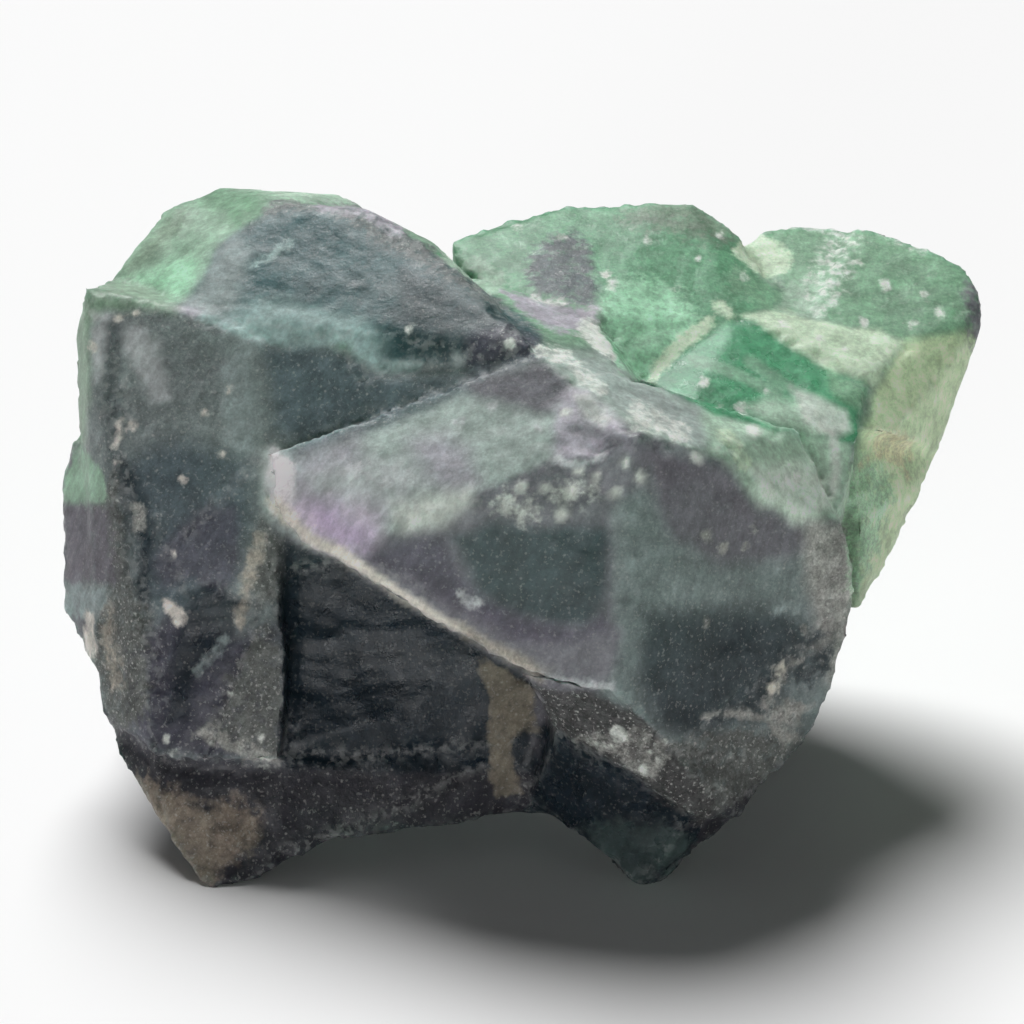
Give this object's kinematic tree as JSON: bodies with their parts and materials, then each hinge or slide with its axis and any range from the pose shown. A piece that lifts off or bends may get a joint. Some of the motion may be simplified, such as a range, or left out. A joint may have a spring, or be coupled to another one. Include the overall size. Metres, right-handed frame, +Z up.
{
  "type": "fluorite crystal",
  "caption": "Rough green and purple fluorite crystal: a solid cluster of cleavage blocks with stepped, chipped faces and an arched front that stands on its own flat base.",
  "frame": {"origin": "middle of the lump's bounding box, at the flat base it stands on", "axes": "+X to the right along the lump's length, +Y towards its back, +Z up"},
  "size_m": [0.0712, 0.0452, 0.0436],
  "materials": {
    "fluorite": "translucent green and purple, glassy on fresh cleavage and frosted where it is rubbed or etched"
  },
  "bodies": {
    "root": {"fluorite_crystal": "fluorite"}
  },
  "joints": []
}
